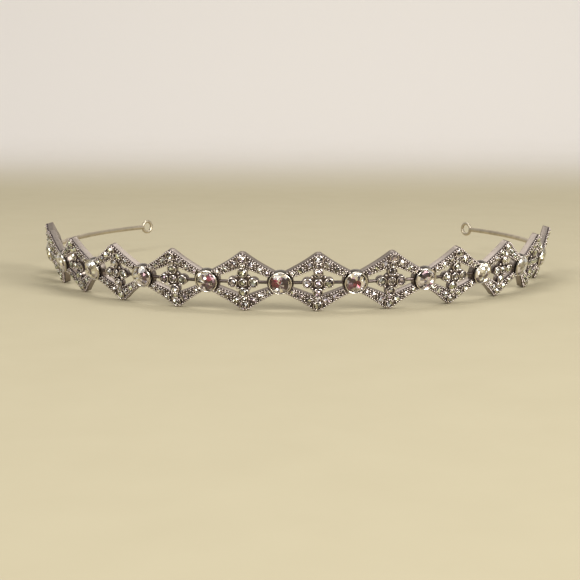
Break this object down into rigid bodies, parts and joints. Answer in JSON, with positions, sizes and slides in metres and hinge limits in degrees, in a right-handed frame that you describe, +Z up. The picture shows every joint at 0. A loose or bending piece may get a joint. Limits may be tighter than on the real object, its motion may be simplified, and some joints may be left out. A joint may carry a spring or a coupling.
{
  "type": "crystal headpiece",
  "caption": "Open horseshoe tiara of pierced lozenge castings set with clear stones, a round crystal between each two, and plain side wires ending in eyelets.",
  "frame": {"origin": "middle of the whole part's footprint, on the surface that the lower apexes rest on", "axes": "+X to the viewer's right across the head, the crystals face -Y, +Z up"},
  "size_m": [0.1568, 0.1325, 0.0164],
  "materials": {
    "casting": "dark antique silver plate on cast white metal",
    "cup": "polished grey plate, bright at the rim",
    "crystal": "clear cut glass with a foiled back",
    "small_stone": "clear cut glass with a foiled back",
    "wire": "satin champagne-grey plate"
  },
  "bodies": {
    "root": {"lozenge_01": "casting", "lozenge_02": "casting", "lozenge_03": "casting", "lozenge_04": "casting", "lozenge_05": "casting", "lozenge_06": "casting", "lozenge_07": "casting", "lozenge_08": "casting", "lozenge_09": "casting", "lozenge_10": "casting", "lozenge_11": "casting", "lozenge_12": "casting", "setting_01": "cup", "setting_02": "cup", "setting_03": "cup", "setting_04": "cup", "setting_05": "cup", "setting_06": "cup", "setting_07": "cup", "setting_08": "cup", "setting_09": "cup", "setting_10": "cup", "setting_11": "cup", "crystal_01": "crystal", "crystal_02": "crystal", "crystal_03": "crystal", "crystal_04": "crystal", "crystal_05": "crystal", "crystal_06": "crystal", "crystal_07": "crystal", "crystal_08": "crystal", "crystal_09": "crystal", "crystal_10": "crystal", "crystal_11": "crystal", "small_stones": "small_stone", "wire_left": "wire", "wire_right": "wire"}
  },
  "joints": []
}
